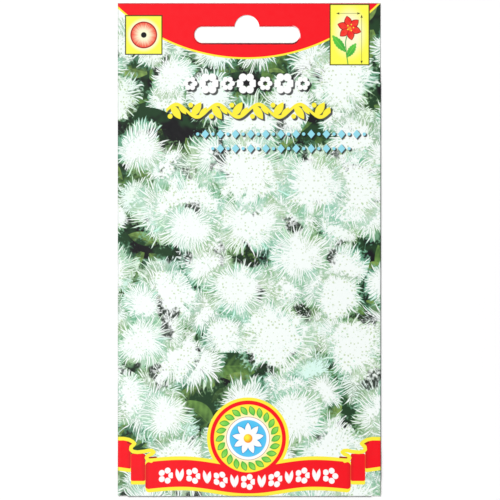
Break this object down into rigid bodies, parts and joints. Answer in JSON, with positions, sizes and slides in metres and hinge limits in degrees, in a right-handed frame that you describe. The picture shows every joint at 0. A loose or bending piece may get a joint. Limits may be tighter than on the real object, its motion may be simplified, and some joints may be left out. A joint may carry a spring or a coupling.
{
  "type": "seed packet",
  "caption": "Flat paper seed packet with a glued header and a hang slot, printed with white ageratum flowers, holding loose ageratum seeds.",
  "frame": {"origin": "on the plane the packet lies on, under the middle of its outline", "axes": "+X to the right across the printed front, +Y up the front towards the hang slot, +Z out of the front; the packet lies on its back"},
  "size_m": [0.08, 0.15, 0.002],
  "materials": {
    "printed_paper": "gloss",
    "glue": "satin",
    "seed": "matte"
  },
  "bodies": {
    "root": {"packet_sheet": "printed_paper", "side_glue": "glue", "flap_glue": "glue", "header_glue": "glue", "seeds": "seed"}
  },
  "joints": []
}
